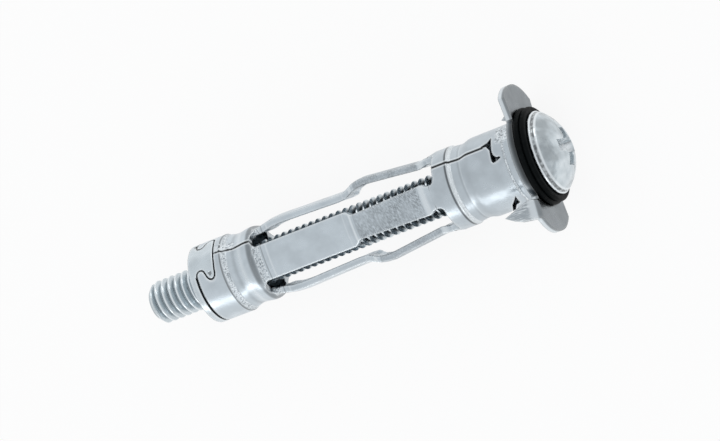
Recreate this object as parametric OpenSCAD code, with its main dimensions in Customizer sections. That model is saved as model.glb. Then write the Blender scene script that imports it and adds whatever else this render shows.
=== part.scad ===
// Hollow wall anchor: a rolled sheet sleeve with four folding legs, a nut locked in its far end,
// a machine screw and a sealing ring under its head.
//
// The anchor lies along X with the screw's head at +X. The origin is on the axis, in the plane of
// the wall that the ears rest on. Every module is first drawn upright, with Z as the depth behind
// the wall's face, X towards the front leg and Y towards the second ear, and laid down at the end.

/* [Screw] */
// Thread's outer diameter
screw_d = 3.94; // [3.8:0.02:4]
// Distance between two crests of the thread
pitch = 0.7; // [0.6:0.05:0.8]
// Depth of the thread from crest to root
thread_depth = 0.43; // [0.3:0.01:0.5]
// Length under the head
screw_l = 40; // [38:1:45]
// Height and depth of the chamfer on the free end
tip_chamfer = 0.55; // [0.3:0.05:0.8]
// Diameter of the head
head_d = 7.6; // [7:0.1:8]
// Height of the head over its seat
head_h = 2.2; // [1.9:0.05:2.5]
// Height of the straight rim of the head
rim_h = 0.3; // [0.2:0.05:0.5]
// Width of the cross recess over two arms
recess_d = 3.5; // [3.2:0.1:4.2]
// Width of one arm of the recess
recess_arm_w = 1.05; // [0.8:0.05:1.3]
// Depth of the recess from the top of the dome
recess_depth = 1.85; // [1.4:0.05:1.9]
// Turn of the recess from the front leg towards the second ear
recess_turn = 10; // [0:5:45]

/* [Sealing ring] */
// Outer diameter over the rear ridge
ring_d = 8.9; // [8.4:0.1:9.4]
// Thickness between the ears and the head
ring_t = 1.05; // [0.9:0.05:1.4]

/* [Sleeve] */
// Outer diameter of the two barrels
sleeve_d = 7.25; // [7.1:0.05:7.4]
// Thickness of the sheet
sheet_t = 0.6; // [0.5:0.05:0.65]
// Radius of the bend from the collar barrel into the ears
flare_r = 0.5; // [0.4:0.05:0.6]
// Outer radius of the narrow lip between the ears
lip_r = 4.35; // [4.25:0.05:4.4]
// Width of the seam's gap
seam_gap = 0.12; // [0.08:0.02:0.2]

/* [Legs] */
// Width of a leg on the nut's side of the fold
leg_w_nut = 3.2; // [3:0.05:3.3]
// Width of a leg just past the fold
leg_w_fold = 2.3; // [2.1:0.05:2.6]
// Width of a leg where it reaches the collar
leg_w_collar = 2.75; // [2.6:0.05:2.9]
// Width of a leg at its root in the collar
leg_w_root = 2.15; // [2:0.05:2.5]
// Radius of the legs' flattened outer face
leg_curve_r = 8; // [6:0.5:12]
// Radius of the slots' round ends beside the nut
slot_r_nut = 1.05; // [0.95:0.05:1.1]
// Radius of the slots' corners beside the collar
slot_r_collar = 0.45; // [0.3:0.05:0.5]

/* [Ears] */
// Radius of an ear's round end
ear_r = 4.3; // [4.1:0.1:4.5]
// Distance of an ear's round end from the axis
ear_reach = 6.7; // [6.5:0.1:6.9]
// Width of an ear on its plain side
ear_plain_w = 2.25; // [2:0.05:2.4]
// Depth of a spike's tip behind the wall's face
spike_depth = 2.55; // [2.2:0.05:2.8]
// Inner radius of a spike's bend
spike_bend_r = 0.25; // [0.2:0.05:0.35]
// Slant of a spike's bend from the ear's middle line
spike_slant = 15; // [10:1:20]

/* [Nut] */
// Thickness of the flange that closes the sleeve's end
flange_t = 0.57; // [0.5:0.05:0.7]
// Gap between the flange and the barrel
flange_gap = 0.23; // [0.15:0.02:0.3]
// Gap round the dovetail tab
tab_gap = 0.15; // [0.08:0.01:0.18]

/* [Hidden] */

$fn = 96;
eps = 0.01;
steel = [0.66, 0.7, 0.74];
bright_steel = [0.74, 0.77, 0.8];
black_rubber = [0.06, 0.07, 0.07];

sleeve_r = sleeve_d / 2;
bore_r = sleeve_r - sheet_t;
nut_end = 32.8;                       // depth of the flange's outer face
nut_shoulder = 29.5;                  // depth where the barrel steps in and holds the nut
barrel_end = nut_end - flange_t - flange_gap;
slot_start = 7.85;                    // depth of the slots' straight ends in the collar
leg_root = 8.45;                      // depth where a leg begins to stand off the round wall
fold_line = 9.45;                     // depth of the fold line across each leg near the collar
slot_stop = 25.5;                     // depth of the centre of the slots' round ends
crease_line = 26.3;                   // depth of the bottom of the crease that a leg folds at
crease_edge = 25.55;                  // depth of the crease's edge on the leg
crease_edge_r = sleeve_r - 0.34;      // distance of that edge from the axis
crease_r = sleeve_r - 0.57;           // distance of the crease's bottom from the axis
seam_turn = 42;                       // turn of the seam from the front leg
thread_run = 0.05;                    // radial play of the screw in the nut
ring_run = 0.08;                      // radial play of the screw in the ring
seat = 0.01;                          // play of a piece that is pressed in place

// Outer lines of the wall as depth, radius and the number of eased steps to the next station,
// where one step is a straight run: the barrel at the collar, a leg, and the barrel at the nut.
collar_stations = [
    [flare_r, sleeve_r, 1],
    [4.3, sleeve_r, 4],
    [5.3, sleeve_r - 0.22, 3],
    [6.2, sleeve_r - 0.14, 1],
    [6.38, sleeve_r, 1],
    [slot_start, sleeve_r, 1],
    [leg_root, sleeve_r - 0.12, 1]
];
leg_stations = [
    [leg_root - eps, sleeve_r - 0.14, 1],
    [fold_line, sleeve_r - 0.25, 1],
    [14.9, sleeve_r + 0.29, 2],
    [15.55, sleeve_r + 0.25, 1],
    [16.05, sleeve_r + 0.13, 1],
    [16.8, sleeve_r - 0.23, 1],
    [17.5, sleeve_r - 0.28, 1],
    [23.6, sleeve_r - 0.08, 2],
    [24.5, sleeve_r - 0.14, 3],
    [crease_edge, crease_edge_r, 1],
    [crease_line + eps, crease_edge_r, 1]
];
nut_stations = [
    [slot_stop - eps, crease_edge_r, 1],
    [26.2, sleeve_r - 0.28, 2],
    [26.95, sleeve_r - 0.19, 4],
    [28.3, sleeve_r - 0.35, 4],
    [nut_shoulder - 0.15, sleeve_r - 0.16, 1],
    [nut_shoulder, sleeve_r, 1],
    [barrel_end, sleeve_r, 1]
];

fold_start = 16.85;                   // depth where a leg starts to narrow at the fold
fold_stop = 15.95;                    // depth where it has its narrow width

tab_neck = [1.62, 1.15];              // centre of the round beside the tab's neck
tab_neck_r = 0.5;                     // its radius
tab_tip = [1.72, 2.1];                // centre of the round at the tab's widest corner
tab_tip_r = 0.36;                     // its radius

thread_sides = 16;                    // flat sides of the thread in one turn
thread_turns = 56;                    // turns under the head
// The thread over one pitch, as height and radius: a narrow flat crest and a sharp root
thread_rows = [[0, screw_d / 2], [0.14, screw_d / 2], [0.57, screw_d / 2 - thread_depth]];
last_row = 3 * thread_turns - 1;

function ease(a, b, f) = a + (b - a) * (1 - cos(180 * f)) / 2;

function mix(a, b, f) = a + (b - a) * f;

// Points of an outer line, from one station to the next
function outer_line(stations) = [
    for (i = [0 : len(stations) - 1])
        let (here = stations[i], next = stations[min(i + 1, len(stations) - 1)])
            for (k = [0 : here[2] - 1])
                [ease(here[1], next[1], k / here[2]), mix(here[0], next[0], k / here[2])]
];

// Outline of the sheet between an outer line and its parallel inside
function sheet_line(stations) =
    let (line = outer_line(stations))
        concat(line, reversed([for (p = line) [p[0] - sheet_t, p[1]]]));

function reversed(list) = [for (i = [len(list) - 1 : -1 : 0]) list[i]];

function mirrored(list) = [for (p = list) [-p[0], p[1]]];

// Points of an arc
function arc(center, r, from, to) = [
    for (k = [0 : 5])
        let (turn = mix(from, to, k / 5))
            center + r * [cos(turn), sin(turn)]
];

// Half of a leg's outline, as half width and depth, with the slot's corner at its root
function leg_half() = concat(
    [[leg_w_nut, slot_start - 1], [leg_w_nut, slot_start]],
    arc([leg_w_root / 2 + slot_r_collar, slot_start + slot_r_collar], slot_r_collar, -90, -180),
    [
        [leg_w_root / 2, fold_line - 0.8],
        [leg_w_collar / 2 - 0.05, fold_line - 0.35],
        [leg_w_collar / 2, fold_line - 0.2]
    ],
    [for (f = [0 : 0.25 : 1])
        [ease(leg_w_fold, leg_w_nut, f) / 2, mix(fold_stop, fold_start, f)]],
    [[leg_w_nut / 2, slot_stop + 2]]
);

// Half of the nut's dovetail tab, as half width and depth, grown by a gap
function tab_half(gap) = concat(
    [[tab_neck[0], nut_end + (gap > 0 ? 1 : -eps)]],
    arc([tab_neck[0], nut_end - tab_neck[1]], tab_neck_r - gap, 90, 240),
    arc([tab_tip[0], nut_end - tab_tip[1]], tab_tip_r + gap, 60, -80),
    [[0.9, nut_end - 2.55 - gap]]
);

// The gap of the hook that locks the seam at the collar, as width and depth on the wall
hook_turn = 35;
hook_gap = [
    [0.5, 2.92], [0.4, 2.4], [-0.1, 2.12], [-1.1, 2.12], [-1.3, 2], [-1.22, 1.6], [-1.05, 1.2],
    [-0.92, 1.35], [-0.9, 1.62], [-0.65, 1.84], [-0.25, 1.92], [1.25, 1.9], [0.85, 2.25], [0.62, 2.92]
];

// The relief beside the root of an ear: a triangle, and a slit behind the root
relief_turn = -62;
relief_triangle = [[1.17, 1.53], [0.27, 2.3], [-0.1, 2.1], [0.1, 1.62]];
relief_slit = [[0.3, 2.32], [-1.35, 3.05], [-1.35, 2.8], [0.1, 2]];

// Lays the upright drawing down along X, with the depth towards -X
module lay_down() {
    rotate([0, -90, 0])
        children();
}

// Stands a flat outline of width and depth up, and carries it outwards through the wall
module through_wall(turn, from = 2.3, to = 4.3) {
    rotate([0, 0, turn])
        translate([from, 0, 0])
            rotate([90, 0, 90])
                linear_extrude(to - from)
                    children();
}

// The two rolled barrels, with the narrow flare at the collar
module barrels() {
    rotate_extrude()
        polygon(sheet_line(collar_stations));
    rotate_extrude()
        polygon(sheet_line(nut_stations));
    rotate_extrude()
        intersection() {
            translate([sleeve_r + flare_r, flare_r])
                difference() {
                    circle(flare_r + sheet_t);
                    circle(flare_r);
                }
            translate([sleeve_r - sheet_t - 1, -sheet_t - 1])
                square([flare_r + sheet_t + 1, flare_r + sheet_t + 1]);
        }
    rotate_extrude()
        translate([sleeve_r + flare_r, -sheet_t])
            square([lip_r - sleeve_r - flare_r, sheet_t]);
}

// One leg: a strip with a flatter curve than the barrels, coined along the crease at its nut end
module leg() {
    shift = leg_curve_r - sleeve_r;
    intersection() {
        translate([-shift, 0, 0])
            rotate_extrude()
                translate([shift, 0])
                    difference() {
                        polygon(sheet_line(leg_stations));
                        polygon([
                            [crease_edge_r, crease_edge],
                            [crease_r + 0.02, crease_line + 2 * eps],
                            [sleeve_r, crease_line + 2 * eps],
                            [sleeve_r, crease_edge]
                        ]);
                    }
        leg_bar(2);
    }
}

// A leg's outline as a bar from a distance outwards
module leg_bar(from) {
    half = leg_half();
    through_wall(0, from, 4.6)
        polygon(concat(half, reversed(mirrored(half))));
}

// What is punched out of the barrels between the legs: straight ends with round corners in the
// collar, and round ends beside the nut
module slots() {
    difference() {
        translate([-6, -6, slot_start])
            cube([12, 12, leg_root - slot_start + 1]);
        for (turn = [0 : 90 : 270])
            rotate([0, 0, turn])
                leg_bar(1);
    }
    for (turn = [45, 135])
        rotate([0, 0, turn])
            translate([-6, 0, slot_stop])
                rotate([0, 90, 0])
                    cylinder(h = 12, r = slot_r_nut);
}

// What makes room in the nut's barrel for the legs and for the crease across the root of each
module leg_roots() {
    for (turn = [0 : 90 : 270])
        rotate([0, 0, turn])
            translate([0, leg_w_nut / 2 - eps, 0])
                rotate([90, 0, 0])
                    linear_extrude(leg_w_nut - 2 * eps)
                        polygon([
                            [1, slot_stop - 1],
                            [1, crease_line],
                            [crease_r, crease_line],
                            [crease_r + 0.55, crease_line + 0.75],
                            [sleeve_r + 1, crease_line + 0.75],
                            [sleeve_r + 1, slot_stop - 1]
                        ]);
}

// The seam along both barrels
module seam() {
    through_wall(seam_turn)
        translate([-seam_gap / 2, 2.7])
            square([seam_gap, nut_end - 4]);
}

// One ear with its spike, which points back towards the nut
module ear() {
    bend_x = 3.3;
    bend_y = 3.4;
    base = 1.7;
    translate([0, 0, -sheet_t])
        linear_extrude(sheet_t)
            difference() {
                intersection() {
                    translate([0.35, ear_r - ear_reach])
                        circle(ear_r);
                    translate([-ear_plain_w, -ear_reach - 1])
                        square([2 * ear_r, ear_reach - 1.5]);
                    translate([bend_x, -bend_y])
                        rotate(spike_slant)
                            translate([-10, -10])
                                square([10, 20]);
                }
                circle(lip_r - 0.1);
            }
    translate([bend_x, -bend_y, 0])
        rotate([0, 0, spike_slant]) {
            intersection() {
                translate([0, 0, spike_bend_r])
                    rotate([90, 0, 0])
                        difference() {
                            cylinder(h = base, r = spike_bend_r + sheet_t);
                            translate([0, 0, -1])
                                cylinder(h = base + 2, r = spike_bend_r);
                        }
                translate([-eps, -base, -sheet_t])
                    cube([2, base, sheet_t + spike_bend_r]);
            }
            translate([spike_bend_r, 0, 0])
                rotate([90, 0, 90])
                    linear_extrude(sheet_t)
                        polygon([
                            [0, spike_bend_r - eps],
                            [-0.8, spike_depth],
                            [-1.2, spike_depth * 0.76],
                            [-1.55, spike_depth * 0.45],
                            [-base, spike_bend_r - eps]
                        ]);
        }
}

module anchor_sleeve() {
    color(steel)
        lay_down() {
            for (turn = [0 : 90 : 270])
                rotate([0, 0, turn])
                    leg();
            difference() {
                union() {
                    barrels();
                    for (turn = [0, 180])
                        rotate([0, 0, turn])
                            ear();
                }
                slots();
                leg_roots();
                seam();
                through_wall(seam_turn)
                    polygon(concat(tab_half(tab_gap), reversed(mirrored(tab_half(tab_gap)))));
                through_wall(hook_turn)
                    polygon(hook_gap);
                for (turn = [0, 180])
                    through_wall(relief_turn + turn) {
                        polygon(relief_triangle);
                        polygon(relief_slit);
                    }
            }
        }
}

// The nut: flange, body, and the tab that fills the notch across the seam
module lock_nut() {
    color(bright_steel)
        lay_down()
            difference() {
                union() {
                    translate([0, 0, nut_end - flange_t])
                        cylinder(h = flange_t, r = sleeve_r);
                    translate([0, 0, nut_shoulder + seat])
                        cylinder(h = nut_end - nut_shoulder - seat, r = bore_r - seat);
                    intersection() {
                        through_wall(seam_turn, 1)
                            polygon(concat(tab_half(0), reversed(mirrored(tab_half(0)))));
                        translate([0, 0, nut_shoulder])
                            cylinder(h = nut_end - nut_shoulder, r = sleeve_r);
                    }
                }
                translate([0, 0, nut_shoulder - 1])
                    cylinder(h = nut_end - nut_shoulder + 2, r = screw_d / 2 + thread_run);
            }
}

// The ring: a flat disc with a large ridge on the wall's side and a smaller one under the head
module sealing_ring() {
    ridge = 0.27;
    small_ridge = 0.24;
    inner_r = screw_d / 2 + ring_run;
    web_r = ring_d / 2 - 0.32;
    color(black_rubber)
        lay_down()
            translate([0, 0, -sheet_t - ring_t])
                rotate_extrude() {
                    translate([inner_r, 0])
                        square([web_r - inner_r, ring_t]);
                    translate([ring_d / 2 - ridge, ring_t - ridge])
                        circle(ridge);
                    translate([web_r - 1, ring_t - 2 * ridge])
                        square([ring_d / 2 - ridge - web_r + 1, 2 * ridge]);
                    translate([ring_d / 2 - 0.1 - small_ridge, small_ridge])
                        circle(small_ridge);
                }
}

// The cross recess with its four tapered arms and the pointed middle
module recess() {
    top = (recess_depth + 1) / recess_depth;
    translate([0, 0, -recess_depth]) {
        intersection() {
            cylinder(h = recess_depth + 1, r1 = recess_d / 4, r2 = mix(recess_d / 4, recess_d / 2, top));
            for (turn = [0, 90])
                rotate([0, 0, turn])
                    translate([-recess_d, -recess_arm_w / 2, 0])
                        cube([2 * recess_d, recess_arm_w, recess_depth + 1]);
        }
        cylinder(h = recess_depth + 1, r1 = recess_arm_w / 2, r2 = recess_arm_w * 1.25);
    }
}

// A point of the thread by column and row, with the free end at height 0. Each column starts one
// part of a pitch higher than the last, and the radius stays inside the free end's chamfer.
function thread_point(column, row) =
    let (
        shape = thread_rows[row % 3],
        height = (floor(row / 3) + 0.07 + shape[0] + column / thread_sides) * pitch,
        r = row > last_row ? thread_rows[2][1] : min(shape[1], screw_d / 2 - tip_chamfer + height)
    )
        around(r, column, height);

function around(r, column, height) =
    let (turn = 360 * column / thread_sides)
        [r * cos(turn), r * sin(turn), height];

// Place of a thread point in the list of points: going once round leads one pitch up, so the
// first column has one pitch more than the others.
function thread_place(column, row) =
    column == thread_sides ? row + 3 : column * (last_row + 1) + row + (column > 0 ? 3 : 0);

// The threaded shank up to a height inside the head, as one closed skin
module thread() {
    tip_r = screw_d / 2 - tip_chamfer;
    neck_r = thread_rows[2][1];
    top = screw_l + rim_h / 2;
    tip = thread_sides * (last_row + 1) + 3;
    neck = tip + thread_sides;
    columns = [0 : thread_sides - 1];
    points = concat(
        [for (c = columns) for (row = [0 : last_row + (c == 0 ? 3 : 0)]) thread_point(c, row)],
        [for (c = columns) around(tip_r, c, 0)],
        [for (c = columns) around(neck_r, c, top)]
    );
    flanks = [
        for (c = columns)
            for (row = [0 : last_row - 1])
                let (
                    a = thread_place(c, row),
                    b = thread_place(c + 1, row),
                    d = thread_place(c + 1, row + 1)
                )
                    each [[a, d, b], [a, a + 1, d]]
    ];
    ends = [
        for (c = columns)
            let (next = (c + 1) % thread_sides)
                each [
                    [tip + c, thread_place(c, 0), tip + next],
                    [neck + c, neck + next, thread_place(c + 1, last_row)]
                ]
    ];
    joins = [
        for (c = [0 : thread_sides - 2])
            each [
                [thread_place(c, 0), thread_place(c + 1, 0), tip + c + 1],
                [thread_place(c + 1, last_row), neck + c + 1, thread_place(c + 2, last_row)]
            ]
    ];
    start = thread_place(thread_sides - 1, 0);
    stop = thread_place(1, last_row);
    fans = concat(
        [[start, 0, tip]],
        [for (row = [0 : 2]) [start, row + 1, row]],
        [for (row = [last_row : last_row + 2]) [stop, row, row + 1]],
        [[stop, last_row + 3, neck]]
    );
    caps = [
        [for (c = columns) tip + c],
        [for (c = [thread_sides - 1 : -1 : 0]) neck + c]
    ];
    polyhedron(points, concat(flanks, ends, joins, fans, caps));
}

// The screw, drawn with its head upwards: rim, dome, recess and threaded shank
module machine_screw() {
    head_r = head_d / 2;
    dome_r = (pow(head_r, 2) + pow(head_h - rim_h, 2)) / (2 * (head_h - rim_h));
    color(bright_steel)
        lay_down()
            translate([0, 0, -sheet_t - ring_t])
                rotate([180, 0, 0])
                    difference() {
                        union() {
                            cylinder(h = rim_h, r = head_r);
                            intersection() {
                                translate([0, 0, head_h - dome_r])
                                    sphere(dome_r);
                                translate([0, 0, rim_h - eps])
                                    cylinder(h = head_h, r = head_r);
                            }
                            translate([0, 0, -screw_l])
                                thread();
                        }
                        translate([0, 0, head_h])
                            rotate([0, 0, -recess_turn])
                                recess();
                    }
}

anchor_sleeve();
lock_nut();
sealing_ring();
machine_screw();
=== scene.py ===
"""The looks of a hollow wall anchor, laid out as an add-on and run as a script.

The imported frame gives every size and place. The sleeve, the nut and the sealing ring keep their
solids and get zinc and rubber. The screw is made again with a smooth thread and a rounded head.
Depth in a name or comment means the distance behind the wall's face, along -X, in millimetres.
"""

import math

import bmesh
import bpy
import numpy as np
from bpy.props import FloatProperty, FloatVectorProperty, IntProperty, PointerProperty
from mathutils import Matrix, Vector


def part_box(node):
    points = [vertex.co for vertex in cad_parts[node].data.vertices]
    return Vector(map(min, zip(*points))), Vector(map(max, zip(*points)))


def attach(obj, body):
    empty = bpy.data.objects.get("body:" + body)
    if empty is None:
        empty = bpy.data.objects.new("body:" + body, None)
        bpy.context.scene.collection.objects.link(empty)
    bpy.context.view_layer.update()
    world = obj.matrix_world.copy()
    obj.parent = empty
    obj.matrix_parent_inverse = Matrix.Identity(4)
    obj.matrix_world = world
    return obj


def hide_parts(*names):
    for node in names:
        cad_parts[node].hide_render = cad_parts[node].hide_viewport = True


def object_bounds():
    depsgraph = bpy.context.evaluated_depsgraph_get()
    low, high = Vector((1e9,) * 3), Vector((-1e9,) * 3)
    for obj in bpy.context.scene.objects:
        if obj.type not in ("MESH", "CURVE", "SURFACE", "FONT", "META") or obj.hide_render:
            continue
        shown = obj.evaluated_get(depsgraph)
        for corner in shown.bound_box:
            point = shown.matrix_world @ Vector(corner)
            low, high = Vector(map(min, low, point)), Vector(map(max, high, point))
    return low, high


bl_info = {
    "name": "Hollow Wall Anchor",
    "version": (1, 0, 0),
    "blender": (4, 5, 0),
    "location": "View3D > Sidebar > Wall Anchor",
    "description": "Zinc, rubber, thread and stage for a hollow wall anchor",
    "category": "Object",
}

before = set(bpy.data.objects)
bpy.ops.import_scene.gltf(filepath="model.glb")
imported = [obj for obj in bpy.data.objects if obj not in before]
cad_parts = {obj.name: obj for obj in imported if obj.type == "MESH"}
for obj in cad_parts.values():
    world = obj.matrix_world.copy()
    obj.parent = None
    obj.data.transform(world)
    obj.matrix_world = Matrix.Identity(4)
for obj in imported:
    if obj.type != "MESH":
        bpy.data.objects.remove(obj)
CAD_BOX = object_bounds()

MM = 0.001
SCREW_LOW, SCREW_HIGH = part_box("machine_screw")
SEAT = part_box("sealing_ring")[1].x  # where the head sits on the ring
HEAD_RADIUS = SCREW_HIGH.y
FILM_WIDTH = 36

# Places on the sleeve and the nut: depths and lengths in millimetres, angles in degrees from the
# nearest leg towards +Y
SHEET_RADIUS = 3.6
BARREL_EDGE = (4.42, 4.5)  # the flared barrel ends and the ears begin between these radii
COLLAR = (-1.0, 8.4)
COLLAR_SHOULDER = (6.05, 6.4)
COLLAR_HALF = (9.55, 15.85)  # the dull half of each leg, between the collar and the fold
NUT_HALF = (16.2, 25.4)  # the smooth half of each leg
SEAM = 42
SEAM_RUNS = ((2.7, 8.5), (26.5, 29.9))
SLOTS = (-45, 45, 135, -135)
PUNCH_DENT = (-30.78, 0.9, 3.5)  # X, Y and Z
TAB_NICK = (-32.25, 3.5, 0.95)  # X, Y and Z

# Lines round the sleeve: depth, width, softness and a share. A line of painted shade keeps that
# share of the colour, and a line of painted highlight is that share of the wear and highlight colour.
PAINTED_SHADE_LINES = (
    (26.66, 0.5, 0.14, 0.45),  # past the crease of the legs
    (29.52, 0.14, 0.05, 0.4),  # edge of the shoulder over the nut
    (28.34, 0.3, 0.2, 0.78),  # waist before that shoulder
    (25.4, 0.1, 0.05, 0.6),  # before the crease of the legs
    (6.52, 0.2, 0.06, 0.3),  # past the collar's shoulder
    (5.36, 0.16, 0.08, 0.85),  # bottom of the collar's groove
    (15.9, 0.1, 0.05, 0.75),  # top of the fold's slope
    (4.6, 0.5, 0.3, 0.93),  # start of the collar's groove
)
PAINTED_HIGHLIGHT_LINES = (
    (24.85, 0.14, 0.08, 0.55),  # slope down to the crease of the legs
    (16.31, 0.22, 0.06, 0.8),  # middle of the fold's slope
    (17.04, 0.1, 0.06, 0.35),  # foot of the fold's slope
    (5.2, 0.1, 0.06, 0.25),  # beside the bottom of the collar's groove
    (27.7, 0.35, 0.2, 0.45),  # slope down to the waist
    (9.2, 0.5, 0.15, 0.55),  # before the crease beside the collar
)
COINED_BANDS = (  # depths of the start and the end, softness, and size of the facets
    (25.6, 26.38, 0.04, 0.16),  # crease of the legs
    (28.95, 29.42, 0.05, 0.13),  # rise to the shoulder over the nut
    (6.03, 6.34, 0.04, 0.11),  # collar's shoulder
)

# Places on the screw in millimetres, each as the start and the end of an eased step
ROOT_RADII = (1.56, 1.8)
CREST_RADII = (1.9, 1.95)
NUT_END = (-34, -32)  # X, where the thread comes out of the nut

RECESS_HIGHLIGHT_COLOR = (0.95, 0.98, 1.0)  # painted highlight: the recess painted brighter than the rest of the zinc

# Rows of the head's grid: shares of the recess's depth, shares of the way from the recess to the
# rim, and the rim itself down to the seat, as inset in millimetres and share of the rim's height
RECESS_POINT = 0.12 * MM  # the recess's middle lies deeper than its edge by this
RECESS_ROWS = (1.0, 0.97, 0.75, 0.5, 0.25, 0.1, 0.04)
RECESS_TAPERS = (0.45, 0.2, 0.5)  # shares that the reach, width and core lose on the way down
DOME_ROWS = (0.012, 0.05, 0.15, 0.3, 0.45, 0.6, 0.75, 0.87, 0.93)
RIM_ROWS = (
    (0.19, 1.28), (0.15, 1.13), (0.12, 1.0), (0.06, 1.0), (0.015, 0.93), (0.0, 0.8), (0.0, 0.25),
    (0.03, 0.08), (0.09, 0.0),
)


# ---------------------------------------------------------------- settings


class ScrewSettings(bpy.types.PropertyGroup):
    """Sizes of the screw that the frame doesn't give."""

    pitch: FloatProperty(
        name="Pitch", description="Distance between two crests", default=0.7 * MM, unit="LENGTH"
    )
    crest_radius: FloatProperty(
        name="Crest radius", description="Radius over the crests", default=1.965 * MM, unit="LENGTH"
    )
    thread_depth: FloatProperty(
        name="Thread depth", description="From crest to root", default=0.43 * MM, unit="LENGTH"
    )
    chamfer: FloatProperty(
        name="Chamfer", description="Length and height of the chamfer on the free end",
        default=0.55 * MM, unit="LENGTH",
    )
    rows_per_pitch: IntProperty(
        name="Rows per pitch", description="Rows of faces along one pitch", default=12, min=6, max=16
    )
    head_height: FloatProperty(
        name="Head height", description="From the head's seat to its top",
        default=2.2 * MM, unit="LENGTH",
    )
    rim_height: FloatProperty(
        name="Rim height", description="Height of the straight rim", default=0.3 * MM, unit="LENGTH"
    )
    recess_reach: FloatProperty(
        name="Recess reach", description="Half of the cross over two arms",
        default=1.75 * MM, unit="LENGTH",
    )
    recess_width: FloatProperty(
        name="Recess width", description="Width of one arm", default=1.05 * MM, unit="LENGTH"
    )
    recess_core: FloatProperty(
        name="Recess core", description="Radius between two arms", default=0.95 * MM, unit="LENGTH"
    )
    recess_depth: FloatProperty(
        name="Recess depth", description="From the top of the dome", default=1.85 * MM, unit="LENGTH"
    )
    recess_turn: FloatProperty(
        name="Recess turn", description="Turn of the cross about the axis, towards +Y",
        default=math.radians(10), unit="ROTATION",
    )


class FinishSettings(bpy.types.PropertyGroup):
    """Colours, edges, wear and painted highlights of the zinc and the rubber."""

    sleeve_color: FloatVectorProperty(
        name="Sleeve", description="Zinc of the sleeve", subtype="COLOR", default=(0.585, 0.648, 0.695)
    )
    nut_color: FloatVectorProperty(
        name="Nut", description="Zinc of the nut", subtype="COLOR", default=(0.63, 0.695, 0.735)
    )
    screw_color: FloatVectorProperty(
        name="Screw", description="Zinc of the screw", subtype="COLOR", default=(0.57, 0.63, 0.665)
    )
    # Zinc rubbed bright, and the colour of painted highlights and glints
    wear_and_highlight_color: FloatVectorProperty(
        name="Worn and highlighted zinc", description="Zinc rubbed bright, and the colour of painted highlights and glints",
        subtype="COLOR", default=(0.82, 0.87, 0.9),
    )
    rubber_color: FloatVectorProperty(
        name="Rubber", description="Rubber of the ring", subtype="COLOR", default=(0.0025, 0.0036, 0.004)
    )
    sheet_edge: FloatProperty(
        name="Sheet edge", description="Rounding of the sheet's punched edges",
        default=0.2 * MM, unit="LENGTH",
    )
    screw_edge: FloatProperty(
        name="Screw edge", description="Rounding of the screw's edges", default=0.05 * MM, unit="LENGTH"
    )
    # Share of the wear and highlight colour on the edges: rubbing and a painted highlight
    edge_wear_and_highlight: FloatProperty(
        name="Edge wear and highlight", description="How bright the edges are rubbed and painted as highlights", default=0.85, min=0, max=1
    )


class StageSettings(bpy.types.PropertyGroup):
    """Camera, floor and light."""

    view_tilt: FloatProperty(
        name="View tilt", description="Lean of the view towards the head, from square on to the axis",
        default=math.radians(22.45), unit="ROTATION",
    )
    view_roll: FloatProperty(
        name="View roll", description="Rise of the axis across the picture",
        default=math.radians(21.23), unit="ROTATION",
    )
    distance: FloatProperty(
        name="Distance", description="From the camera to its aim", default=330 * MM, unit="LENGTH"
    )
    picture_width: FloatProperty(
        name="Picture width", description="Width of what the camera sees at that distance",
        default=63.5 * MM, unit="LENGTH",
    )
    aim: FloatVectorProperty(
        name="Aim", description="Point in the middle of the picture", subtype="TRANSLATION",
        default=(-16.98 * MM, 0.42 * MM, -0.16 * MM), unit="LENGTH",
    )
    floor_color: FloatVectorProperty(
        name="Floor", description="Colour of the floor", subtype="COLOR", default=(0.93, 0.93, 0.93)
    )
    floor_white: FloatProperty(
        name="Floor white", description="Share of plain white in the floor as it is seen",
        default=0.88, min=0, max=1,
    )
    sky: FloatProperty(name="Sky", description="Brightness of the room", default=0.82, min=0)
    side_box: FloatProperty(
        name="Side box", description="Brightness of the tall soft box on the -Y side", default=1.5, min=0
    )
    back_box: FloatProperty(
        name="Back box", description="Brightness of the low soft box on the +Y side", default=1.4, min=0
    )


# ---------------------------------------------------------------- meshes


def grid_faces(rows, columns):
    """Quads between each row of points and the next, as four indices; columns aren't joined round."""
    corner = np.arange(rows * columns).reshape(rows, columns)
    quads = np.stack([corner[:-1, :-1], corner[:-1, 1:], corner[1:, 1:], corner[1:, :-1]], axis=-1)
    return quads.reshape(-1, 4)


def skin(name, grids, body, material, sharp):
    """One closed mesh from several grids of points, whose shared borders are merged."""
    points, faces, start = [], [], 0
    for grid in grids:
        rows, columns = grid.shape[:2]
        points.append(grid.reshape(-1, 3))
        faces.append(grid_faces(rows, columns) + start)
        start += rows * columns
    mesh = bpy.data.meshes.new(name)
    mesh.from_pydata(np.concatenate(points).tolist(), [], np.concatenate(faces).tolist())
    work = bmesh.new()
    work.from_mesh(mesh)
    bmesh.ops.remove_doubles(work, verts=work.verts, dist=0.0004 * MM)
    bmesh.ops.recalc_face_normals(work, faces=work.faces)
    work.to_mesh(mesh)
    work.free()
    mesh.shade_smooth()
    mesh.set_sharp_from_angle(angle=sharp)
    mesh.materials.append(material)
    made = bpy.data.objects.new(name, mesh)
    bpy.context.scene.collection.objects.link(made)
    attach(made, body)
    return made


def round_x(radius, along, angle):
    """Points at a radius and an angle round X, where angle 0 is up and a quarter turn is along +Y."""
    return np.stack(np.broadcast_arrays(along, radius * np.sin(angle), radius * np.cos(angle)), axis=-1)


# ---------------------------------------------------------------- screw


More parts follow.
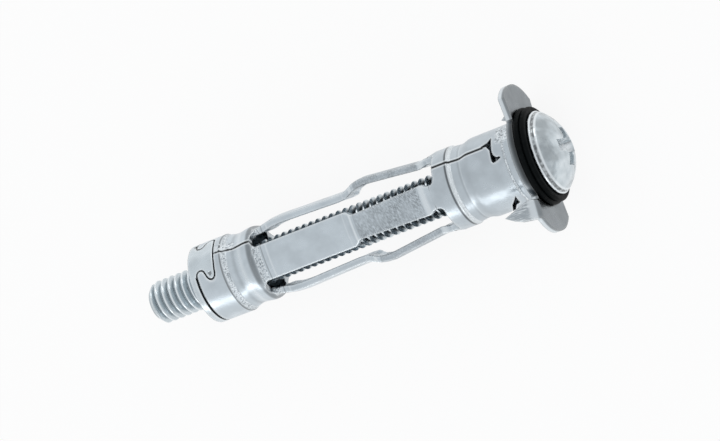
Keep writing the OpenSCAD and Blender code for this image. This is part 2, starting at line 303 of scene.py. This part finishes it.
def recess_angles(screw):
    """Column angles of one turn that fall on the corners of the cross: an arm's tip, side and core."""
    tip = math.atan(screw.recess_width / 2 / screw.recess_reach)
    root = math.asin(screw.recess_width / 2 / screw.recess_core)
    half = np.concatenate(
        [np.linspace(0, tip, 5)[:-1], np.linspace(tip, root, 7)[:-1], np.linspace(root, math.pi / 4, 4)]
    )
    arm = np.concatenate([-half[:0:-1], half[:-1]])
    turns = np.arange(4)[:, None] * math.pi / 2
    ring = (turns + arm[None, :]).ravel()
    return np.append(ring, ring[0] + 2 * math.pi)


def cross_radius(angle, reach, width, core):
    """Radius of the cross by angle: straight arms that end at reach, and never less than core."""
    arm = (angle + math.pi / 4) % (math.pi / 2) - math.pi / 4
    side = width / 2 / np.maximum(np.abs(np.sin(arm)), 1e-6)
    return np.maximum(np.minimum(reach / np.cos(arm), side), core)


def dome_height(screw, radius):
    """Height of the dome over the seat: a sphere through the rim's top edge and the head's top."""
    rise = screw.head_height - screw.rim_height
    ball = (HEAD_RADIUS**2 + rise**2) / (2 * rise)
    return screw.head_height - ball + np.sqrt(ball**2 - radius**2)


def turned_recess(screw, points):
    """Points turned about X by the recess's turn, from +Z towards +Y."""
    turn = Matrix.Rotation(-screw.recess_turn, 3, "X")
    return points @ np.array(turn).T


def head_grid(screw):
    """The head from the bottom of the recess over the dome and the rim to the shank, row by row.

    Recess rows are crosses that shrink with depth; dome rows blend from the cross to a circle. A
    shallow line runs round the rim where the two dies that struck the head met.
    """
    angle = recess_angles(screw)
    even = np.linspace(angle[0], angle[-1], len(angle))
    bottom = screw.head_height - screw.recess_depth
    sizes = (screw.recess_reach, screw.recess_width, screw.recess_core)
    opening = cross_radius(angle, *sizes)
    rows = [round_x(0 * angle, SEAT + bottom - RECESS_POINT, angle)]
    for sunk in RECESS_ROWS:
        shape = cross_radius(
            angle, *[size * (1 - taper * sunk) for size, taper in zip(sizes, RECESS_TAPERS)]
        )
        height = dome_height(screw, shape) * (1 - sunk) + bottom * sunk
        rows.append(round_x(shape, SEAT + height, angle))
    for outwards in DOME_ROWS:
        radius = opening + (HEAD_RADIUS - opening) * outwards
        turned = angle + (even - angle) * outwards
        rows.append(round_x(radius, SEAT + dome_height(screw, radius), turned))
    for inset, height in RIM_ROWS:
        radius = HEAD_RADIUS - inset * MM + 0 * even
        rows.append(round_x(radius, SEAT + screw.rim_height * height, even))
    rows.append(round_x(screw.crest_radius + 0 * even, SEAT + 0 * even, even))
    return turned_recess(screw, np.stack(rows)), even


def thread_grid(screw, even):
    """The thread as one long strip whose rows follow the right-hand helix.

    Going round from +Z towards +Y by one turn leads one pitch away from the head. The radius falls
    from crest to root with the power 1.6 of the distance from the crest, so that the crest is round
    and the root is sharp, and it stays inside the free end's chamfer.
    """
    tip = SCREW_LOW.x
    count = int((SEAT - tip) / screw.pitch) + 3
    rows = np.arange(-screw.rows_per_pitch, count * screw.rows_per_pitch + 1)[:, None]
    turned = ((even - even[0]) / (2 * math.pi))[None, :]
    travel = (rows / screw.rows_per_pitch + turned) * screw.pitch
    along = np.clip(SEAT - travel, tip, SEAT)
    phase = (travel / screw.pitch - turned) % 1.0
    away = np.abs(2 * phase - 1) ** 1.6
    run_out = np.clip((SEAT - along) / screw.pitch, 0, 1)
    radius = screw.crest_radius - screw.thread_depth * away * run_out
    cone = screw.crest_radius - screw.chamfer * (1 - np.clip((along - tip) / screw.chamfer, 0, 1))
    radius = np.minimum(radius, cone)
    return turned_recess(screw, round_x(radius, along, even[None, :] + 0 * along))


def tip_grid(screw, even):
    """The flat free end: rings that shrink to a pole, with a shallow dish in the middle."""
    shrink = np.array([1.0, 0.96, 0.6, 0.3, 0.0])[:, None]
    dish = np.array([0.0, 0.0, 0.03, 0.07, 0.08])[:, None] * MM
    radius = (screw.crest_radius - screw.chamfer) * shrink
    return turned_recess(screw, round_x(radius, SCREW_LOW.x + dish, even[None, :]))


# ---------------------------------------------------------------- materials


def add_node(tree, kind, sockets=None, **settings):
    """Adds a node. sockets gives each input a value, or the output that it is linked from."""
    made = tree.nodes.new(kind)
    for key, value in settings.items():
        setattr(made, key, value)
    for key, value in (sockets or {}).items():
        if isinstance(value, bpy.types.NodeSocket):
            tree.links.new(value, made.inputs[key])
        else:
            made.inputs[key].default_value = value
    return made


def new_material(name):
    """An empty material with its shader: the material, its node tree and the shader node."""
    material = bpy.data.materials.new(name)
    material.use_nodes = True
    tree = material.node_tree
    return material, tree, tree.nodes["Principled BSDF"]


def reckon(tree, operation, *values):
    """One step of arithmetic on values and outputs."""
    return add_node(tree, "ShaderNodeMath", dict(enumerate(values)), operation=operation).outputs[0]


def spread(tree, value, low, high, start=0.3, stop=0.7):
    """Maps a value between start and stop to low and high with an eased step."""
    return add_node(
        tree, "ShaderNodeMapRange",
        {"Value": value, "From Min": start, "From Max": stop, "To Min": low, "To Max": high},
        interpolation_type="SMOOTHSTEP",
    ).outputs["Result"]


def speckle(tree, place, size, detail=3.0, roughness=0.55):
    """Noise with spots of about that size, from 0 to 1."""
    return add_node(
        tree, "ShaderNodeTexNoise",
        {"Vector": place, "Scale": 1 / size, "Detail": detail, "Roughness": roughness},
    ).outputs["Fac"]


def tinted(tree, value, dark, light):
    """A colour between two colours by a value from 0 to 1. Either may be an output."""
    colors = {}
    for socket, color in ((6, dark), (7, light)):
        colors[socket] = color if isinstance(color, bpy.types.NodeSocket) else (*color, 1)
    return add_node(tree, "ShaderNodeMix", {"Factor": value, **colors}, data_type="RGBA").outputs[2]


class Coat:
    """A finish in the making: a colour, a roughness and a normal that each step lays over the last."""

    def __init__(self, name, color, rough, edge):
        self.material, self.tree, self.shader = new_material(name)
        self.place = add_node(self.tree, "ShaderNodeTexCoord").outputs["Object"]
        split = add_node(self.tree, "ShaderNodeSeparateXYZ", {0: self.place}).outputs
        self.along = split["X"]
        self.turn = reckon(self.tree, "ARCTAN2", split["Y"], split["Z"])
        squares = [reckon(self.tree, "POWER", split[side], 2.0) for side in "YZ"]
        self.radius = reckon(self.tree, "SQRT", reckon(self.tree, "ADD", *squares))
        shades = [tuple(channel * share for channel in color) for share in (0.92, 1.06)]
        clouds = speckle(self.tree, self.place, 1.7 * MM, detail=4.0)
        self.color = tinted(self.tree, spread(self.tree, clouds, 0, 1), *shades)
        self.rough = spread(self.tree, clouds, rough * 1.12, rough * 0.88)
        self.normal, self.wide = [
            add_node(self.tree, "ShaderNodeBevel", {"Radius": radius}, samples=6).outputs["Normal"]
            for radius in (edge, edge * 2)
        ]

    def depth_band(self, start, stop, soft=0.06):
        """1 between two depths in millimetres: an eased step in, times an eased step out."""
        deep = reckon(self.tree, "MULTIPLY", self.along, -1 / MM)
        return reckon(
            self.tree, "MULTIPLY",
            spread(self.tree, deep, 0, 1, start - soft, start + soft),
            spread(self.tree, deep, 1, 0, stop - soft, stop + soft),
        )

    def turn_band(self, start, stop, soft=2.0):
        """1 between two angles in degrees, from +Z towards +Y."""
        turn = reckon(self.tree, "MULTIPLY", self.turn, 180 / math.pi)
        return reckon(
            self.tree, "MULTIPLY",
            spread(self.tree, turn, 0, 1, start - soft, start + soft),
            spread(self.tree, turn, 1, 0, stop - soft, stop + soft),
        )

    def within(self, start, stop):
        """1 closer to the axis than a radius in millimetres, eased to 0 at a second."""
        return spread(self.tree, self.radius, 1, 0, start * MM, stop * MM)

    def beyond(self, start, stop):
        """0 closer to the axis than a radius in millimetres, eased to 1 at a second."""
        return spread(self.tree, self.radius, 0, 1, start * MM, stop * MM)

    def spot(self, center, radius):
        """1 at a point in millimetres, and 0 from a radius outwards."""
        away = add_node(
            self.tree, "ShaderNodeVectorMath", {0: self.place, 1: [value * MM for value in center]},
            operation="DISTANCE",
        ).outputs["Value"]
        return spread(self.tree, away, 1, 0, radius * 0.35 * MM, radius * MM)

    def strip(self, slant):
        """The sheet unrolled: X along the axis, Y round it from the nearest leg and Z outwards.

        It is turned by a slant in the sheet.
        """
        quarter = reckon(self.tree, "WRAP", self.turn, -math.pi / 4, math.pi / 4)
        round_it = reckon(self.tree, "MULTIPLY", quarter, SHEET_RADIUS * MM)
        flat = add_node(
            self.tree, "ShaderNodeCombineXYZ", {"X": self.along, "Y": round_it, "Z": self.radius}
        ).outputs[0]
        return add_node(
            self.tree, "ShaderNodeMapping", {"Vector": flat, "Rotation": (0, 0, math.radians(slant))}
        ).outputs[0]

    def strokes(self, slant, width, length):
        """Noise drawn out into strokes at a slant to the axis."""
        drawn = add_node(
            self.tree, "ShaderNodeVectorMath", {0: self.strip(slant), 1: (width / length, 1, 1)},
            operation="MULTIPLY",
        ).outputs[0]
        return speckle(self.tree, drawn, width * MM, detail=2.0)

    def scratches(self, size, drawn_out, width):
        """Thin curved lines where a drawn-out noise passes its middle value."""
        place = add_node(
            self.tree, "ShaderNodeMapping",
            {"Vector": self.place, "Rotation": (0.5, 0.3, 0.9), "Scale": drawn_out},
        ).outputs[0]
        noise = speckle(self.tree, place, size * MM, detail=1.0)
        off = reckon(self.tree, "ABSOLUTE", reckon(self.tree, "SUBTRACT", noise, 0.5))
        return spread(self.tree, off, 1, 0, 0.0, width)

    def edges(self):
        """1 on the rounding of an edge: how far the rounded normal leans from the face's own."""
        flat = add_node(self.tree, "ShaderNodeNewGeometry").outputs["True Normal"]
        lean = add_node(
            self.tree, "ShaderNodeVectorMath", {0: self.wide, 1: flat}, operation="DOT_PRODUCT"
        ).outputs["Value"]
        return spread(self.tree, lean, 1, 0, 0.9, 0.99)

    def crevices(self, reach):
        """1 deep in a gap or a corner: where faces within a reach in millimetres hide the sky. Darkening
        by it paints shade.
        """
        shade = add_node(
            self.tree, "ShaderNodeAmbientOcclusion", {"Distance": reach * MM}, samples=8
        ).outputs["AO"]
        return spread(self.tree, shade, 1, 0, 0.3, 0.9)

    def both(self, *masks):
        """The product of masks."""
        product = masks[0]
        for mask in masks[1:]:
            product = reckon(self.tree, "MULTIPLY", product, mask)
        return product

    def other(self, mask):
        """1 minus a mask."""
        return reckon(self.tree, "SUBTRACT", 1.0, mask)

    def paint(self, mask, color, share=1.0):
        """Lays a colour over what is there, by a mask."""
        self.color = tinted(self.tree, self.both(mask, share), self.color, color)

    def darken(self, mask, share):
        """Multiplies the colour by a share where the mask is 1."""
        shade = tinted(self.tree, mask, (1, 1, 1), (share, share, share))
        self.color = add_node(
            self.tree, "ShaderNodeMix", {"Factor": 1.0, 6: self.color, 7: shade}, data_type="RGBA",
            blend_type="MULTIPLY",
        ).outputs[2]

    def roughen(self, mask, rough):
        """Moves the roughness to a value where the mask is 1."""
        self.rough = add_node(
            self.tree, "ShaderNodeMix", {"Factor": mask, 2: self.rough, 3: rough}, data_type="FLOAT"
        ).outputs[0]

    def emboss(self, height, distance):
        """Raises the surface by a height map, with its distance in millimetres."""
        self.normal = add_node(
            self.tree, "ShaderNodeBump",
            {"Height": height, "Normal": self.normal, "Strength": 1.0, "Distance": distance * MM},
        ).outputs["Normal"]

    def done(self):
        """Joins the three layers to the shader."""
        self.tree.links.new(self.color, self.shader.inputs["Base Color"])
        self.tree.links.new(self.rough, self.shader.inputs["Roughness"])
        self.tree.links.new(self.normal, self.shader.inputs["Normal"])
        return self.material


def zinc(name, color, rough, edge, finish):
    """Bright zinc on steel: a metal with rubbed edges painted bright as a highlight, slight waves, fine
    grain and a few scratches.
    """
    coat = Coat(name, color, rough, edge)
    coat.shader.inputs["Metallic"].default_value = 1.0
    edges = coat.edges()
    # Painted highlight on the rounding of each edge, along with its rubbing
    coat.paint(edges, finish.wear_and_highlight_color, finish.edge_wear_and_highlight)
    coat.roughen(edges, rough * 0.8)
    coat.emboss(speckle(coat.tree, coat.place, 1.3 * MM, detail=1.0), 0.03)
    coat.emboss(speckle(coat.tree, coat.place, 0.07 * MM, detail=2.0), 0.004)
    scratches = coat.scratches(0.9, (1.0, 6.0, 6.0), 0.006)
    coat.roughen(coat.both(scratches, 0.5), rough * 1.5)
    coat.emboss(coat.both(scratches, -1.0), 0.0015)
    return coat


def coined(coat, mask, finish, size=0.11):
    """Zinc that a tool has upset: small rough, bumped facets of about that size, with painted glints on
    some and painted shade on others.
    """
    tree = coat.tree
    facets = speckle(tree, coat.place, size * MM, detail=2.0, roughness=0.6)
    # Painted shade on some facets and painted glints on others
    coat.darken(coat.both(mask, spread(tree, facets, 1, 0, 0.36, 0.47)), 0.55)
    coat.paint(coat.both(mask, spread(tree, facets, 0, 1, 0.45, 0.56)), finish.wear_and_highlight_color, 0.95)
    coat.roughen(mask, 0.34)
    coat.emboss(coat.both(facets, mask), 0.09)


def draw_legs(coat):
    """Marks of the press on the legs: slanted on their dull half, and fine along X on the other."""
    tree = coat.tree
    drawn = coat.depth_band(*COLLAR_HALF, soft=0.05)
    strokes = coat.strokes(66, 0.055, 0.3)
    patches = spread(tree, speckle(tree, coat.place, 1.4 * MM), 0.45, 1)
    coat.darken(coat.both(drawn, patches, spread(tree, strokes, 1, 0, 0.42, 0.62)), 0.5)
    coat.emboss(coat.both(strokes, drawn), 0.03)
    coat.roughen(drawn, 0.4)
    coat.emboss(coat.both(coat.strokes(3, 0.05, 1.6), coat.depth_band(*NUT_HALF)), 0.003)


def line_sleeve(coat, finish):
    """Painted shade and painted highlights in lines where the sleeve's grooves, shoulders and folds run
    round it, and the bands that are coined.
    """
    # Painted shade along the grooves and waists, and painted highlights on the slopes
    for depth, width, soft, share in PAINTED_SHADE_LINES:
        coat.darken(coat.depth_band(depth - width / 2, depth + width / 2, soft), share)
    for depth, width, soft, share in PAINTED_HIGHLIGHT_LINES:
        band = coat.depth_band(depth - width / 2, depth + width / 2, soft)
        coat.paint(band, finish.wear_and_highlight_color, share)
    for start, stop, soft, size in COINED_BANDS:
        coined(coat, coat.depth_band(start, stop, soft), finish, size)
    # Painted highlight on the collar's shoulder
    coat.paint(coat.depth_band(*COLLAR_SHOULDER, soft=0.06), finish.wear_and_highlight_color, 0.75)


def close_seam(coat, finish):
    """The gap where the sheet's two ends meet: painted shade in it between two edges with painted
    highlights, and coined zinc beside it.
    """
    for start, stop in SEAM_RUNS:
        run = coat.depth_band(start, stop, soft=0.1)
        edges = coat.turn_band(SEAM - 4.4, SEAM + 4.8, soft=0.7)
        # Painted highlights on the two edges of the seam
        coat.paint(coat.both(run, edges), finish.wear_and_highlight_color, 0.6)
        # Painted shade in the seam's gap
        coat.darken(coat.both(run, coat.turn_band(SEAM - 2.1, SEAM + 2.1, soft=0.8)), 0.2)
    beside = coat.both(coat.depth_band(28.2, 29.9, soft=0.2), coat.turn_band(41, 56, soft=4))
    coined(coat, beside, finish, 0.25)


def bend_ears(coat, finish, barrel):
    """The ears and their spikes: the ears darker than the barrel by painted shade, the spikes a little
    darker and streaked, and a painted highlight in the bend.
    """
    tree = coat.tree
    outside = coat.other(barrel)
    ears = coat.both(outside, spread(tree, coat.along, 0, 1, 0.3 * MM, 0.4 * MM))
    # Painted shade: the ears' faces darker than the barrel
    coat.darken(ears, 0.42)
    coat.emboss(coat.both(ears, coat.strokes(35, 0.06, 0.8)), 0.006)
    spikes = coat.both(outside, spread(tree, coat.along, 1, 0, -0.3 * MM, 0.1 * MM))
    coat.darken(spikes, 0.78)
    streaks = coat.strokes(8, 0.12, 1.2)
    coat.paint(coat.both(spikes, spread(tree, streaks, 0, 1, 0.5, 0.66)), finish.wear_and_highlight_color, 0.7)
    # Painted highlight in the bend of the ears
    coat.paint(coat.both(outside, coat.depth_band(-0.35, 0.25, soft=0.15)), finish.wear_and_highlight_color, 0.5)


def sleeve_zinc(finish):
    """The sleeve's zinc, with the marks of the press and coined bands, and painted shade and painted
    highlights on its legs, barrel, seam and ears.
    """
    coat = zinc("sleeve_zinc", finish.sleeve_color, 0.3, finish.sheet_edge, finish)
    barrel = coat.within(*BARREL_EDGE)
    # Painted shade in the sleeve's gaps and corners
    coat.darken(coat.crevices(0.5), 0.4)
    coat.darken(coat.depth_band(*COLLAR, soft=0.6), 0.9)
    draw_legs(coat)
    line_sleeve(coat, finish)
    coined(coat, coat.both(barrel, coat.depth_band(0.74, 0.98, soft=0.05)), finish)
    close_seam(coat, finish)
    by_hook = coat.both(coat.depth_band(-0.05, 1.5, soft=0.2), coat.turn_band(40, 74, soft=5))
    coined(coat, coat.both(barrel, by_hook), finish, 0.2)
    # Painted highlight on the crease beside each slot
    for turn in SLOTS:
        beside = coat.turn_band(turn - 9, turn + 9, soft=4)
        coat.paint(coat.both(coat.depth_band(25.5, 26.6, soft=0.15), beside), finish.wear_and_highlight_color, 0.45)
    # Painted shade of the black ring on the end of the barrel beside it
    ring_shade = spread(coat.tree, coat.along, 0, 1, -0.35 * MM, 0.5 * MM)
    coat.darken(coat.both(barrel, ring_shade), 0.12)
    bend_ears(coat, finish, barrel)
    return coat.done()


def nut_zinc(finish):
    """The nut's zinc, with painted shade in its gaps, the dent of the punch that locked its tab with
    painted shade in it and a painted highlight round it, and a nick beside the tab painted dark as
    shade.
    """
    coat = zinc("nut_zinc", finish.nut_color, 0.27, finish.sheet_edge, finish)
    # Painted shade in the nut's gaps and corners
    coat.darken(coat.crevices(0.5), 0.35)
    dent = coat.spot(PUNCH_DENT, 0.26)
    # Painted shade in the punch's dent, and a painted highlight round it
    coat.darken(dent, 0.45)
    coat.paint(coat.both(dent, coat.other(dent)), finish.wear_and_highlight_color)
    coat.emboss(coat.both(dent, -1.0), 0.12)
    nick = coat.spot(TAB_NICK, 0.3)
    # Painted shade: a dark spot for the nick's hollow
    coat.darken(nick, 0.2)
    coat.emboss(coat.both(nick, -1.0), 0.2)
    return coat.done()


def dull_thread(coat, finish):
    """The thread: dull roots darkened by painted shade, darkest inside the sleeve, and crests rubbed and
    painted bright as a highlight.
    """
    tree = coat.tree
    shank = spread(tree, coat.along, 1, 0, SEAT - 0.1 * MM, SEAT)
    root = coat.both(shank, coat.within(*ROOT_RADII))
    sleeve_shade = spread(tree, coat.along, 0, 1, NUT_END[0] * MM, NUT_END[1] * MM)
    # Painted shade in the roots, darker inside the sleeve
    coat.darken(root, 0.85)
    coat.darken(coat.both(root, sleeve_shade), 0.45)
    # Painted shade in the thread's hollows inside the sleeve
    coat.darken(coat.both(coat.crevices(0.5), sleeve_shade), 0.5)
    coat.roughen(root, 0.5)
    # Crests rubbed and painted bright as a highlight
    coat.paint(coat.both(shank, coat.beyond(*CREST_RADII)), finish.wear_and_highlight_color, 0.85)
    coat.emboss(coat.both(shank, coat.strokes(88, 0.04, 2.0)), 0.006)


def polish_head(coat, finish):
    """The head: polished and wavy, with painted reflections on the dome, painted highlights in the
    recess and on the rim, painted shade in its hollows and a dark line of painted shade beside the rim.
    """
    tree = coat.tree
    rim = HEAD_RADIUS / MM
    head = spread(tree, coat.along, 0, 1, SEAT, SEAT + 0.1 * MM)
    waves = speckle(tree, coat.place, 1.9 * MM, detail=2.5)
    coat.emboss(coat.both(head, waves), 0.25)
    # Painted reflections: darker and lighter patches that follow the dome's waves
    coat.darken(coat.both(head, spread(tree, waves, 1, 0, 0.34, 0.54)), 0.7)
    coat.paint(coat.both(head, spread(tree, waves, 0, 1, 0.5, 0.68)), finish.wear_and_highlight_color, 0.45)
    sunk = spread(tree, coat.along, 1, 0, SEAT + 1.1 * MM, SEAT + 2.0 * MM)
    recess = coat.both(sunk, coat.within(1.7, 1.8), head)
    coined(coat, recess, finish, 0.35)
    # Painted highlight in the recess
    coat.paint(recess, RECESS_HIGHLIGHT_COLOR, 0.75)
    # Painted shade in the head's hollows
    coat.darken(coat.both(coat.crevices(0.6), head), 0.5)
    # A broken dark line of painted shade beside the rim
    line = coat.both(head, coat.beyond(rim - 0.24, rim - 0.19), coat.within(rim - 0.15, rim - 0.1))
    # Painted highlight on the rim
    coat.paint(coat.both(head, coat.beyond(rim - 0.4, rim - 0.3)), finish.wear_and_highlight_color, 0.8)
    broken = spread(tree, speckle(tree, coat.place, 0.5 * MM), 0.45, 1, 0.35, 0.55)
    coat.darken(coat.both(line, broken), 0.25)


def screw_zinc(finish):
    """The screw's zinc, dull in the roots of the thread and polished on the head."""
    coat = zinc("screw_zinc", finish.screw_color, 0.2, finish.screw_edge, finish)
    dull_thread(coat, finish)
    polish_head(coat, finish)
    return coat.done()


def ring_rubber(finish):
    """Black rubber: nearly black and dull, with a faint bloom and slight mould marks."""
    coat = Coat("ring_rubber", finish.rubber_color, 0.5, 0.05 * MM)
    coat.shader.inputs["Specular IOR Level"].default_value = 0.05
    bloom = speckle(coat.tree, coat.place, 0.35 * MM, detail=4.0)
    coat.paint(spread(coat.tree, bloom, 0, 1, 0.45, 0.75), (0.007, 0.009, 0.01), 0.5)
    coat.emboss(speckle(coat.tree, coat.place, 0.05 * MM), 0.004)
    coat.emboss(speckle(coat.tree, coat.place, 0.8 * MM, detail=2.0), 0.05)
    return coat.done()


def dress(node, material):
    """Gives a CAD node its material, and leaves its mesh as it is."""
    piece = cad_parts[node]
    piece.data.materials.clear()
    piece.data.materials.append(material)


# ---------------------------------------------------------------- operators


class ANCHOR_OT_sleeve(bpy.types.Operator):
    """Finishes the rolled sleeve in satin zinc"""

    bl_idname = "anchor.sleeve"
    bl_label = "Sleeve"

    def execute(self, context):
        dress("anchor_sleeve", sleeve_zinc(context.scene.anchor_finish))
        return {"FINISHED"}


class ANCHOR_OT_nut(bpy.types.Operator):
    """Finishes the locked nut in satin zinc"""

    bl_idname = "anchor.nut"
    bl_label = "Nut"

    def execute(self, context):
        dress("lock_nut", nut_zinc(context.scene.anchor_finish))
        return {"FINISHED"}


class ANCHOR_OT_ring(bpy.types.Operator):
    """Finishes the sealing ring in black rubber"""

    bl_idname = "anchor.ring"
    bl_label = "Sealing ring"

    def execute(self, context):
        dress("sealing_ring", ring_rubber(context.scene.anchor_finish))
        return {"FINISHED"}


class ANCHOR_OT_screw(bpy.types.Operator):
    """Makes the pan head screw with its thread and cross recess"""

    bl_idname = "anchor.screw"
    bl_label = "Screw"

    def execute(self, context):
        screw = context.scene.anchor_screw
        head, even = head_grid(screw)
        grids = [head, thread_grid(screw, even), tip_grid(screw, even)]
        material = screw_zinc(context.scene.anchor_finish)
        made = skin("threaded_screw", grids, "screw_body", material, sharp=math.radians(50))
        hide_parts("machine_screw")
        return {"FINISHED"}


def soft_box(name, aim, direction, distance, size, brightness):
    """A rectangular lamp turned to a point. At a brightness of 1 a mirror shows it as plain white."""
    lamp = bpy.data.lights.new(name, "AREA")
    lamp.shape = "RECTANGLE"
    lamp.size, lamp.size_y = size
    lamp.energy = brightness * math.pi * size[0] * size[1]
    made = bpy.data.objects.new(name, lamp)
    away = Vector(direction).normalized()
    made.location = aim + away * distance
    made.rotation_euler = away.to_track_quat("Z", "Y").to_euler()
    made.visible_camera = False
    bpy.context.scene.collection.objects.link(made)
    return made


class ANCHOR_OT_stage(bpy.types.Operator):
    """Sets the floor, the light and the camera"""

    bl_idname = "anchor.stage"
    bl_label = "Stage"

    def execute(self, context):
        stage = context.scene.anchor_stage
        self.add_floor(context, stage)
        self.add_light(context, stage)
        self.add_camera(context, stage)
        context.scene.view_settings.view_transform = "Standard"
        return {"FINISHED"}

    def add_floor(self, context, stage):
        """A wide level plane just under the anchor.

        Part of it is plain white for the camera and for reflections. The rest takes light and shadow.
        """
        reach, height = 4.0, CAD_BOX[0].z
        corners = [(reach * x, reach * y, height) for x, y in ((-1, -1), (1, -1), (1, 1), (-1, 1))]
        mesh = bpy.data.meshes.new("floor")
        mesh.from_pydata(corners, [], [(0, 1, 2, 3)])
        material, tree, shader = new_material("floor_paper")
        place = add_node(tree, "ShaderNodeTexCoord").outputs["Object"]
        clouds = speckle(tree, place, 40 * MM)
        shades = [tuple(channel * share for channel in stage.floor_color) for share in (0.99, 1.01)]
        tree.links.new(tinted(tree, clouds, *shades), shader.inputs["Base Color"])
        shader.inputs["Roughness"].default_value = 0.9
        shader.inputs["Specular IOR Level"].default_value = 0.1
        rays = add_node(tree, "ShaderNodeLightPath").outputs
        seen = reckon(tree, "MAXIMUM", rays["Is Camera Ray"], rays["Is Glossy Ray"])
        seen = reckon(tree, "MAXIMUM", seen, rays["Is Transmission Ray"])
        white = add_node(
            tree, "ShaderNodeEmission", {"Color": (1, 1, 1, 1), "Strength": 1.0}
        ).outputs[0]
        mixed = add_node(
            tree, "ShaderNodeMixShader",
            {0: reckon(tree, "MULTIPLY", seen, stage.floor_white), 1: shader.outputs[0], 2: white},
        ).outputs[0]
        tree.links.new(mixed, tree.nodes["Material Output"].inputs["Surface"])
        mesh.materials.append(material)
        floor = bpy.data.objects.new("floor", mesh)
        context.scene.collection.objects.link(floor)

    def add_light(self, context, stage):
        """A pale room, a tall soft box on the -Y side and a lower one on the +Y side."""
        world = bpy.data.worlds.new("studio")
        context.scene.world = world
        world.use_nodes = True
        shader = world.node_tree.nodes["Background"]
        shader.inputs["Color"].default_value = (0.97, 0.985, 1, 1)
        shader.inputs["Strength"].default_value = stage.sky
        aim = Vector((stage.aim[0], 0, 0))
        soft_box(
            "side_box", aim, direction=(-0.38, -0.84, 0.39), distance=0.7, size=(0.7, 0.22),
            brightness=stage.side_box,
        )
        soft_box(
            "back_box", aim, direction=(0.5, 0.85, 0.16), distance=0.7, size=(0.5, 0.16),
            brightness=stage.back_box,
        )

    def add_camera(self, context, stage):
        """A long lens that looks down on the anchor, with the axis rising to the right."""
        camera_data = bpy.data.cameras.new("camera")
        camera_data.sensor_width = FILM_WIDTH
        camera_data.lens = FILM_WIDTH * stage.distance / stage.picture_width
        camera_data.clip_start, camera_data.clip_end = 0.01, 20
        tilt, roll = stage.view_tilt, stage.view_roll
        back = Vector((math.sin(tilt), 0, math.cos(tilt)))
        axis = Vector((math.cos(tilt), 0, -math.sin(tilt)))
        side = Vector((0, 1, 0))
        right = axis * math.cos(roll) - side * math.sin(roll)
        up = axis * math.sin(roll) + side * math.cos(roll)
        camera = bpy.data.objects.new("camera", camera_data)
        camera.matrix_world = Matrix.Translation(Vector(stage.aim) + back * stage.distance) @ Matrix(
            (right, up, back)
        ).transposed().to_4x4()
        context.scene.collection.objects.link(camera)
        context.scene.camera = camera


class ANCHOR_PT_panel(bpy.types.Panel):
    """Lists the anchor's settings and the steps that build it"""

    bl_idname = "ANCHOR_PT_panel"
    bl_label = "Wall Anchor"
    bl_space_type = "VIEW_3D"
    bl_region_type = "UI"
    bl_category = "Wall Anchor"

    def draw(self, context):
        scene = context.scene
        for group in (scene.anchor_screw, scene.anchor_finish, scene.anchor_stage):
            box = self.layout.box()
            for key in group.__annotations__:
                box.prop(group, key)
        for operator in OPERATORS:
            self.layout.operator(operator.bl_idname)


OPERATORS = (ANCHOR_OT_sleeve, ANCHOR_OT_nut, ANCHOR_OT_ring, ANCHOR_OT_screw, ANCHOR_OT_stage)
CLASSES = (ScrewSettings, FinishSettings, StageSettings, *OPERATORS, ANCHOR_PT_panel)


def register():
    for made in CLASSES:
        bpy.utils.register_class(made)
    bpy.types.Scene.anchor_screw = PointerProperty(type=ScrewSettings)
    bpy.types.Scene.anchor_finish = PointerProperty(type=FinishSettings)
    bpy.types.Scene.anchor_stage = PointerProperty(type=StageSettings)


def unregister():
    del bpy.types.Scene.anchor_stage
    del bpy.types.Scene.anchor_finish
    del bpy.types.Scene.anchor_screw
    for made in reversed(CLASSES):
        bpy.utils.unregister_class(made)


def main():
    register()
    bpy.ops.anchor.sleeve()
    bpy.ops.anchor.nut()
    bpy.ops.anchor.ring()
    bpy.ops.anchor.screw()
    bpy.ops.anchor.stage()


if __name__ == "__main__":
    main()
